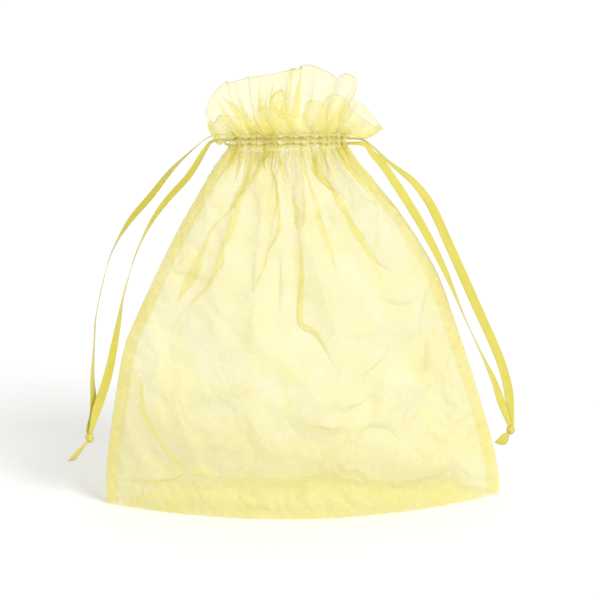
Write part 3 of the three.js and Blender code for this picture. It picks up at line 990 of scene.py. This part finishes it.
# %% Ribbons inside the casings
BUNCHED = 1.3 * MM
PLEAT_PINCH = 0.55  # how much of the pleats' depth the ribbon squeezes out of them
TURN_TUCKED = 2.6 * MM  # how far the soft ribbon's turn draws in, short of the solid model's
TURN_CORNER = 3 * MM  # radius of the turn's two corners
WANDER = 0.35 * MM  # up and down in the casing
loops = {}
for side, out in OUTWARD.items():
    low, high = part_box(side + "_ribbon_loop")
    level = (low.z + high.z) / 2
    depth = high.y - 0.45 * MM
    far = (low.x if out > 0 else high.x) + out * TURN_TUCKED
    near = NECK_END[side] - out * (INSIDE - 1 * MM)
    corner = TURN_CORNER
    bend = np.linspace(0, math.pi / 2, 7)[1:]
    straight = np.linspace(near, far + out * corner, 160)
    lane = [(x, -depth) for x in straight]
    lane += [
        (far + out * corner * (1 - math.sin(b)), -depth + corner * (1 - math.cos(b)))
        for b in bend
    ]
    lane += [(x, -y) for x, y in reversed(lane)]
    lane = np.array(lane)
    line = np.column_stack([lane, np.full(len(lane), level)])
    run = distances(line)
    u = (line[:, 0] - NECK_LEFT) / (NECK_RIGHT - NECK_LEFT)
    inside = smooth_step(0, 0.06, u) * smooth_step(0, 0.06, 1 - u)
    swell = gather(np.clip(u, 0, 1))[1]
    line[:, 1] += np.sign(line[:, 1]) * (1 - PLEAT_PINCH) * swell * inside
    line[:, 2] += WANDER * np.sin(run / (2.1 * MM))
    loops[side] = ribbon(
        side + "_ribbon_loop_satin", line, 0 * run, BUNCHED, 0.3 * MM, upright=True,
    )
    print(side, "loop holds", round(run[-1] / MM), "mm of ribbon")

# %% [markdown]
# The cloth goes on past the neck: up over the casing, up the frill, over at the rim, and down
# inside again as the hem that closes the casing. Each leaf of the frill is that one length of
# cloth. Its rim is a line of points chosen one by one. Where the rim runs back on itself, the
# leaf falls into a petal that lies over the next.

# %% Rims of the frill
SEAM_TIP = {"left": (-56.5, 0.0, 231.5), "right": (46.5, 0.0, 227.5)}
FRONT_RIM = [
    SEAM_TIP["left"], (-56.6, -5, 230.4), (-53.0, -13, 236.5), (-50.5, -17, 241.0),
    (-45, -21, 241.5), (-38.0, -22, 239.8), (-35.5, -19, 240.5), (-39.5, -14, 243.5),
    (-46, -11, 248.0), (-48.8, -8, 250.3), (-43, -9, 247.0), (-36.0, -12, 242.5),
    (-31.0, -17, 239.5), (-30.0, -23, 241.5), (-27.5, -26, 247.0), (-25.0, -26, 247.6),
    (-21, -25, 245.5), (-14.5, -22, 240.0), (-14.0, -18, 240.5), (-20.5, -14, 247.5),
    (-18, -12, 252.5), (-13.8, -13, 255.0), (-11.6, -17, 249.0), (-11.4, -22, 243.0),
    (-7, -21, 240.5), (-2.2, -18, 241.5), (-1.0, -22, 247.0), (1.0, -26, 250.6),
    (6.2, -26, 251.2), (9.4, -23, 248.0), (9.0, -16, 246.0), (12, -12, 249.0),
    (17.5, -12, 251.5), (24.0, -11, 247.5), (26.5, -14, 243.0), (32, -15, 238.5),
    (39, -10, 232.5), (44.5, -5, 228.5), SEAM_TIP["right"],
]
BACK_RIM = [
    SEAM_TIP["left"], (-57.6, 3, 236.5), (-56.2, 7, 242.5), (-52.0, 13, 248.2),
    (-46.0, 18, 252.8), (-43.8, 20, 253.4), (-44.2, 17.5, 253.2), (-40, 16, 254.0),
    (-34.0, 18, 255.5), (-31.0, 21, 256.0), (-31.4, 18.5, 256.0), (-28, 17, 256.6),
    (-18, 19, 257.5), (-8.5, 23, 258.6), (-3.2, 24, 259.8), (-6.2, 20, 260.4),
    (-6.4, 16, 260.8), (-1, 15, 261.6), (0.6, 18, 261.7), (-0.8, 21, 261.6),
    (3, 25, 261.5), (8, 24, 261.3), (13, 21, 259.5), (18.5, 18, 256.6),
    (21.4, 15, 254.8), (21.8, 11, 257.0), (24.4, 8.5, 259.4), (28.5, 7, 258.8),
    (31.6, 5, 256.2), (31.4, 1.5, 251.0), (28.8, -1, 247.2), (30, 2, 245.5),
    (35, 5, 241.5), (39.5, 5, 237.0), (43.5, 3, 232.0), SEAM_TIP["right"],
]

# %% [markdown]
# Between foot and rim the leaf flares at once and then rises, so its sides droop. Pleats keep
# their place in the cloth all the way up: the fine gathers of the casing melt into the petals.

# %% The gathered cloth across the neck
CASING_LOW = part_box("front_casing_outer")[0].z
CASING_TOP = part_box("front_casing_outer")[1].z
HEM_DEPTH = 4.9 * MM  # of the inner ply of the casing, from the middle of the neck
SLIT_HALF_OPEN = 6.9 * MM
PLEAT_SHIFT = 0.9 * MM  # how far the ribbon pushes the pleats sideways


def foot_line(u, z, depth, facing):
    """The gathered cloth across the neck at height z. Its ends part in the middle of the casing,
    where the ribbons come out, and close above and below."""
    s = 2 * u - 1
    level = np.clip((z - CASING_LOW) / (CASING_TOP - CASING_LOW), 0, 1)
    end = SEAM_GAP + (SLIT_HALF_OPEN - SEAM_GAP) * np.sin(math.pi * level) ** 0.6
    end = np.minimum(end, depth)
    mouth = end + (depth - end) * (1 - np.abs(s) ** 8)
    sway, swell = gather(u)
    drawn_in = math.sin(math.pi * level)  # the ribbon pinches the pleats and pushes them askew
    shift = PLEAT_SHIFT * drawn_in * np.sin(41 * u) * (1 - s ** 8)
    sway = sway * (1 - PLEAT_PINCH * drawn_in) + shift
    swell = swell * (1 - PLEAT_PINCH * drawn_in)
    return np.stack([
        NECK_MIDDLE + s * NECK_HALF + sway, facing * (mouth + swell), np.full_like(u, z),
    ], axis=-1)


def rim_line(rim, u):
    line = line_through(np.array(rim, float) * MM, 10)
    share = distances(line) / distances(line)[-1]
    return np.stack([np.interp(u, share, line[:, i]) for i in range(3)], axis=-1)


# %% A leaf of the frill
LEAF_COLUMNS = 361
CASING_ROWS = 7
FRILL_ROWS = 20
HEM_ROWS = 14
CASING_HEM_ROWS = 4
RIPPLE = 4.0 * MM  # of the gathers that carry on up the frill
HEM_APART = 0.7 * MM  # between the two plies near the rim
HEM_SLACK = 2.3 * MM  # folds that the inner ply keeps to itself
SIDE_DROOP = {"left": 9 * MM, "right": 5.5 * MM}  # of its sides, over the ends of the casing


def leaf(facing, rim):
    """The rows of one leaf, from the foot of the casing up over the rim and down to the hem."""
    u = np.linspace(0, 1, LEAF_COLUMNS)
    edge = smooth_step(0, 0.02, u) * smooth_step(0, 0.02, 1 - u)
    rows = []
    for z in np.linspace(BODY_TOP, CASING_TOP, CASING_ROWS):
        rows.append(foot_line(u, z, NECK_DEPTH, facing))
    rim_points = rim_line(rim, u)
    foot = foot_line(u, CASING_TOP, NECK_DEPTH, facing)
    slow = gather_phase(u) / 1.5 + facing
    droop = np.where(u < 0.5, SIDE_DROOP["left"], SIDE_DROOP["right"]) * np.abs(2 * u - 1) ** 7
    for v in np.linspace(0, 1, FRILL_ROWS)[1:]:
        flare = np.array([v ** 0.75, v ** 0.75, v ** 1.05])
        row = foot + (rim_points - foot) * flare
        row[:, 2] -= droop * math.sin(math.pi * v ** 0.7)
        ripple = RIPPLE * math.sin(math.pi * v ** 0.55) * edge
        row[:, 0] -= 0.5 * ripple * np.sin(2 * slow)
        row[:, 1] += facing * ripple * np.sin(slow)
        rows.append(row)
    outer = np.array(rows[CASING_ROWS - 1:])
    for v in np.linspace(1, 0, HEM_ROWS)[1:]:
        at = v * (len(outer) - 1)
        low = int(at)
        row = outer[low] + (at - low) * (outer[min(low + 1, len(outer) - 1)] - outer[low])
        inward = (HEM_APART + (NECK_DEPTH - HEM_DEPTH - HEM_APART) * (1 - v) ** 2) * edge
        slack = HEM_SLACK * (1 + np.sin(1.9 * slow)) * math.sin(math.pi * v) * edge
        row[:, 1] -= facing * (inward + slack)
        row[:, 2] -= 0.5 * MM * math.sin(math.pi * v)
        rows.append(row)
    for z in np.linspace(CASING_TOP, CASING_LOW + 0.4 * MM, CASING_HEM_ROWS)[1:]:
        rows.append(foot_line(u, z, HEM_DEPTH, facing))
    points = np.array(rows)
    steps = np.linalg.norm(np.diff(points, axis=0), axis=2).mean(axis=1)
    height = np.concatenate([[0], np.cumsum(steps)]) + BODY_TOP
    flat = np.stack(np.meshgrid(u * FLAT_WIDTH, height), axis=2)
    return points, flat


# %% Header pieces
# Cutting crowding in the casing rows also lifts the painted fold shade there: painted light, so the
# casing doesn't come out too dark.
CASING_CROWDING = 0.3  # four plies stand behind each other here, so each may stop less light
HEADER_CUT = 80 * MM  # of cloth from the neck up over the rim and down to the casing's foot
RIMS = {"front": FRONT_RIM, "back": BACK_RIM}
header_pieces = {}
for name, facing in FACING.items():
    points, flat = leaf(facing, RIMS[name])
    normals = grid_normals(points, -facing)
    crowding = crowding_of(normals, 5)
    crowding[:CASING_ROWS] *= CASING_CROWDING
    crowding[-CASING_HEM_ROWS:] *= CASING_CROWDING
    middle = int(np.abs(points[:, :, 0] - NECK_MIDDLE).mean(axis=0).argmin())
    header_pieces |= halves(
        name + "_header", points, flat, normals, crowding, middle, GATHERED_PAINTED_LIGHTER, facing,
    )
    sides = points[1:, :-1] - points[:-1, :-1], points[:-1, 1:] - points[:-1, :-1]
    share = np.linalg.norm(np.cross(*sides), axis=2).sum() / (FLAT_WIDTH * HEADER_CUT)
    cloth_length = flat[-1, 0, 1] - BODY_TOP
    rim_length = distances(line_through(np.array(RIMS[name], float) * MM))[-1]
    print(name, "header:", round(cloth_length / MM), "mm from neck to hem")
    print("  rim", round(rim_length / MM), "mm, area", round(share, 3), "of the flat cut")

# Both leaves end in the same two lines, which the frill's seams follow
frill = points[CASING_ROWS - 1:CASING_ROWS + FRILL_ROWS - 1]
frill_edges = {"left": frill[:, 0], "right": frill[:, -1]}

# %% [markdown]
# The stretch of cloth that the pouch stands on lies flat, a little creased, between the two folds
# where the front and the back turn up.

# %% Base
BASE_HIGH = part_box("base")[1]
s, w = np.meshgrid(np.linspace(-1, 1, 121), np.linspace(-1, 1, 41))
reach = BASE_HIGH.x - 2 * MM  # of its middle line, short of the seams
across_base = SEAM_GAP + (BASE_DEPTH - SEAM_GAP) * (1 - (s * reach / BASE_HALF) ** 2)
base_points = np.stack([s * reach, w * (across_base - 0.4 * MM), 0 * s], axis=2)
edge_rise = 0.6 * MM * smooth_step(0.9, 1, np.abs(w))
creases = 0.7 * MM * crumple(base_points, 0.022, 2.4) * (1 - smooth_step(0.85, 1, np.abs(w)))
base_points[..., 2] = LOWEST + creases + edge_rise
base_flat = base_points[..., :2] + FLAT_WIDTH / 2
base_cloth = grid_object("base_organza", base_points, base_flat, ORGANZA)

# %% [markdown]
# The side seams are sewn inside out and turned, so both raw edges stand inside as a strip 7 mm
# wide. Four plies lie on each other there with the panels in front and behind, and that is why the
# edge of a sheer pouch looks darker. The seam puckers a little as the stitches draw it in.

# %% A strip of seam allowance
SEAM_PUCKER = 0.5 * MM
PLY_APART = 0.8 * MM


def seam_strip(name, edge, inward, width, pucker_pitch):
    """Two plies as one thin closed strip. edge is the seam's outer line, inward its direction."""
    columns = 7
    lengths = distances(edge)
    pucker = SEAM_PUCKER * np.sin(2 * math.pi * lengths / pucker_pitch)
    rings = []
    for side, order in ((-1, range(columns)), (1, reversed(range(columns)))):
        for c in order:
            k = c / (columns - 1)
            middle = edge + inward * width * k
            plump = side * PLY_APART / 2 * (0.3 + 0.7 * math.sin(math.pi * min(0.5, k + 0.1)))
            rings.append(middle + np.outer(plump + pucker * k, (0, 1, 0)))
    points = np.stack(rings, axis=1)
    flat = np.zeros(points.shape[:2] + (2,))
    order = np.array([*range(columns), *reversed(range(columns))]) / (columns - 1)
    flat[..., 0] = order * width
    flat[..., 1] = lengths[:, None]
    obj = grid_object(name, points, flat, ALLOWANCE, closed=True)
    close_ends(obj, points.shape[1])
    return obj


# %% Seams
SEAM_WIDTH = 7 * MM
SEAM_STATIONS = 90
seams = {}
seam_lines = {}
for side, out in OUTWARD.items():
    t = np.linspace(0.004, 1, SEAM_STATIONS)
    edge = shell(np.full(SEAM_STATIONS, float(out)), t, 0)
    edge[:, 1] = 0
    inward = np.array([-out, 0.0, 0.0])
    seams[side] = seam_strip(side + "_side_seam_organza", edge, inward, SEAM_WIDTH, 8.5 * MM)
    seam_lines[side] = edge + inward * (SEAM_WIDTH + 0.4 * MM)
    rise = frill_edges[side] * (1, 0, 1)
    down_in = np.array([-out * 0.55, 0.0, 0.83])
    seams[side + "_frill"] = seam_strip(
        side + "_frill_seam_organza", rise, down_in, 4 * MM, 6 * MM,
    )

# %% [markdown]
# Every stitch is the same little length of thread, laid again and again along a line. That is work
# for Geometry Nodes: a line is resampled at the stitch pitch, one stitch goes on each point, and
# the result is made real. Straight rows close the casings, slanted ones wrap the raw edges of the
# seams, and short ones across a line make the bar tacks at the ends of the neck.

# %% The stitch tree
STITCH_INPUTS = {
    "Pitch": 3.0 * MM, "Stitch Length": 2.2 * MM, "Thread Radius": 0.17 * MM, "Slant": 0.0,
}


def stitch_tree():
    tree = bpy.data.node_groups.new("stitches_along_a_line", "GeometryNodeTree")
    tree.interface.new_socket("Geometry", in_out="INPUT", socket_type="NodeSocketGeometry")
    for name, value in STITCH_INPUTS.items():
        socket = tree.interface.new_socket(name, in_out="INPUT", socket_type="NodeSocketFloat")
        socket.default_value = value
    tree.interface.new_socket("Geometry", in_out="OUTPUT", socket_type="NodeSocketGeometry")
    given = add_node(tree, "NodeGroupInput").outputs

    line = add_node(tree, "GeometryNodeMeshToCurve", {"Mesh": given["Geometry"]})
    places = add_node(tree, "GeometryNodeResampleCurve", {
        "Curve": line, "Length": given["Pitch"],
    }, mode="LENGTH")
    tangent = add_node(tree, "GeometryNodeInputTangent")
    lengthwise = add_node(tree, "FunctionNodeAlignRotationToVector", {"Vector": tangent}, axis="Z")
    facing = add_node(tree, "FunctionNodeAlignRotationToVector", {
        "Rotation": lengthwise, "Vector": (0.0, 1.0, 0.0),
    }, axis="Y", pivot_axis="Z")
    lean = add_node(tree, "ShaderNodeCombineXYZ", {"Y": given["Slant"]})
    leaning = add_node(tree, "FunctionNodeRotateRotation", {
        "Rotation": facing, "Rotate By": lean,
    }, rotation_space="LOCAL")

    ball = add_node(tree, "GeometryNodeMeshUVSphere", {"Segments": 6, "Rings": 5, "Radius": 1.0})
    half = add_node(tree, "ShaderNodeMath", {
        0: given["Stitch Length"], 1: 0.5,
    }, operation="MULTIPLY")
    size = add_node(tree, "ShaderNodeCombineXYZ", {
        "X": given["Thread Radius"], "Y": given["Thread Radius"], "Z": half,
    })
    laid = add_node(tree, "GeometryNodeInstanceOnPoints", {
        "Points": places, "Instance": ball,
        "Rotation": leaning, "Scale": size,
    })
    real = add_node(tree, "GeometryNodeRealizeInstances", {"Geometry": laid})
    soft = add_node(tree, "GeometryNodeSetShadeSmooth", {"Geometry": real})
    thread = add_node(tree, "GeometryNodeSetMaterial", {"Geometry": soft, "Material": THREAD})
    add_node(tree, "NodeGroupOutput", {"Geometry": thread})
    return tree


# %% [markdown]
# A helper lays the stitches along given lines and keeps the mesh they make. The modifier has done
# its work by then and is taken off.

# %% Lay stitches
STITCHES = stitch_tree()


def stitched(name, lines, **values):
    """A plain mesh of stitches along one or more lines of points."""
    mesh = bpy.data.meshes.new(name)
    points, edges = [], []
    for line in lines:
        first = len(points)
        points += [tuple(p) for p in line]
        edges += [(first + i, first + i + 1) for i in range(len(line) - 1)]
    mesh.from_pydata(points, edges, [])
    row = add_object(name, mesh)
    modifier = row.modifiers.new("stitches", "NODES")
    modifier.node_group = STITCHES
    for item in STITCHES.interface.items_tree:
        key = item.name.lower().replace(" ", "_")
        if item.in_out == "INPUT" and key in values:
            modifier[item.identifier] = values[key]
    finished = row.evaluated_get(bpy.context.evaluated_depsgraph_get())
    row_mesh = bpy.data.meshes.new_from_object(finished)
    row.modifiers.clear()
    row.data = row_mesh
    print(name, "has", len(row_mesh.polygons), "faces")
    return row


# %% [markdown]
# A casing's rows sink into the gathers and ride over them, so each follows the meander of the
# cloth, a thread's radius outside it. Each row is made in two halves, because each half moves with
# its own end of the neck.

# %% Stitch rows
ROW_LEVEL = {"lower": CASING_LOW + 0.9 * MM, "upper": CASING_TOP - 0.9 * MM}
rows = {}
for name, facing in FACING.items():
    for side, span in (("left", (0.012, 0.5)), ("right", (0.5, 0.988))):
        u = np.linspace(*span, 400)
        lines = [foot_line(u, z, NECK_DEPTH + 0.2 * MM, facing) for z in ROW_LEVEL.values()]
        piece = name + "_" + side + "_casing_stitches"
        rows[piece] = stitched(piece, lines, pitch=2.5 * MM, stitch_length=2.0 * MM)

# %% Tacks and overlocking
tacks = {}
overlocks = {}
for side, out in OUTWARD.items():
    lines = []
    for level in ("lower", "upper"):
        low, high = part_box(side + "_" + level + "_bar_tack")
        x, z = (low.x + high.x) / 2, (low.z + high.z) / 2
        lines.append([(x, y, z) for y in np.linspace(low.y, high.y, 20)])
    tacks[side] = stitched(
        side + "_bar_tacks_thread", lines,
        pitch=0.5 * MM, stitch_length=1.5 * MM, thread_radius=0.25 * MM, slant=1.45,
    )
    overlocks[side] = stitched(
        side + "_seam_overlock_thread", [seam_lines[side]],
        pitch=1.6 * MM, stitch_length=2.2 * MM, thread_radius=0.18 * MM, slant=0.7,
    )

# %% [markdown]
# Now each piece is set in place, and the solid model's nodes that it replaces are hidden. Knots,
# tails, ribbon loops, tacks, frill seams and the base are tied to a part of the solid model. The
# cloth, the seams, the casing rows and the strands keep their place.

# %% What moves with what
centre = Vector((NECK_MIDDLE, 0, CASING_LOW))


def follow_neck(piece, side):
    """Bakes the piece's placement into its mesh; the piece keeps its place and is not tied to the
    neck. side is not used.
    """
    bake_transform(piece)


def stand_for(piece, slot, *nodes):
    """Hides the solid model's nodes that the piece replaces. slot is not used."""
    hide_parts(*nodes)


for name, piece in body_pieces.items():
    face, _, side = name.split("_")
    follow_neck(piece, side)
    stand_for(piece, "organza", face + "_panel")

for name, piece in header_pieces.items():
    face, _, side = name.split("_")
    follow_neck(piece, side)
    nodes = face + "_frill", face + "_casing_outer", face + "_casing_inner"
    stand_for(piece, "gathered_organza", *nodes)

for name, piece in rows.items():
    face, side = name.split("_")[:2]
    follow_neck(piece, side)
    stand_for(piece, "sewing_thread", face + "_lower_stitch_row", face + "_upper_stitch_row")

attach(base_cloth, "pouch_body")
stand_for(base_cloth, "organza", "base")

# %% What each side moves with
for side in OUTWARD:
    follow_neck(seams[side], side)
    stand_for(seams[side], "gathered_organza", side + "_side_seam")
    follow_neck(overlocks[side], side)
    stand_for(overlocks[side], "sewing_thread", side + "_seam_overlock")
    frill_seam = seams[side + "_frill"]
    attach(frill_seam, side + "_neck")
    stand_for(frill_seam, "gathered_organza", side + "_frill_seam")
    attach(tacks[side], side + "_neck")
    nodes = side + "_lower_bar_tack", side + "_upper_bar_tack"
    stand_for(tacks[side], "sewing_thread", *nodes)
    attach(loops[side], side + "_drawstring")
    stand_for(loops[side], "satin_ribbon", side + "_ribbon_loop")
    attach(knots[side], side + "_hanging_ribbon")
    stand_for(knots[side], "satin_ribbon", side + "_knot")

for name, piece in tails.items():
    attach(piece, name.split("_")[0] + "_hanging_ribbon")
    stand_for(piece, "satin_ribbon", name)

# %% Strands keep their place
for name, (piece, _) in strands.items():
    side = name.split("_")[0]
    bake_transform(piece)
    stand_for(piece, "satin_ribbon", name)

# %% [markdown]
# Each strand is paired with its knot and tails, and the pairing is not used further.

# %% Cords and sheets
for name, (piece, line) in strands.items():
    side = name.split("_")[0]
    with_pieces = [knots[side], tails[side + "_front_tail"], tails[side + "_back_tail"]]
    with_pieces if "front" in name else []

# %% [markdown]
# The set is a plain white sweep in a white room. A big soft light at the front right gives the folds
# their shading, and its soft shadow falls behind the pouch to the left. It is a Sun with a wide
# angle, because that lights the far floor as evenly as the near. The Standard view keeps the
# pale yellow as it is, where a filmic one would grey it.

# %% View and light paths
scene = bpy.context.scene
scene.view_settings.view_transform = "Standard"
# Light has to get through a dozen plies one behind the other, or the folds go dark
scene.cycles.transparent_max_bounces = 96
scene.cycles.max_bounces = 32
scene.cycles.diffuse_bounces = 24
scene.cycles.transmission_bounces = 24

# %% Floor and room
floor_mesh = bpy.data.meshes.new("floor")
floor_mesh.from_pydata([(-6, -6, 0), (6, -6, 0), (6, 6, 0), (-6, 6, 0)], [], [(0, 1, 2, 3)])
floor = add_object("floor", floor_mesh)
floor.location.z = -0.3 * MM
paper, paper_tree = new_material("paper_matt_white")
paper_face = add_node(paper_tree, "ShaderNodeBsdfPrincipled", {
    "Base Color": linear("#F8F8F8"), "Roughness": 0.9, "Specular IOR Level": 0.1,
})
add_node(paper_tree, "ShaderNodeOutputMaterial", {"Surface": paper_face})
floor_mesh.materials.append(paper)

world = bpy.data.worlds.new("white_room")
world.use_nodes = True
sky = world.node_tree.nodes["Background"]
sky.inputs["Color"].default_value = linear("#FFFFFF")
sky.inputs["Strength"].default_value = 0.75
scene.world = world

# %% Key light
key_light = bpy.data.lights.new("key_softbox", "SUN")
key_light.angle = math.radians(26)
key_light.energy = 1.85
KEY_FROM = Vector((0.75, -1.0, 1.05))
face_from(add_object("key_softbox", key_light), KEY_FROM)
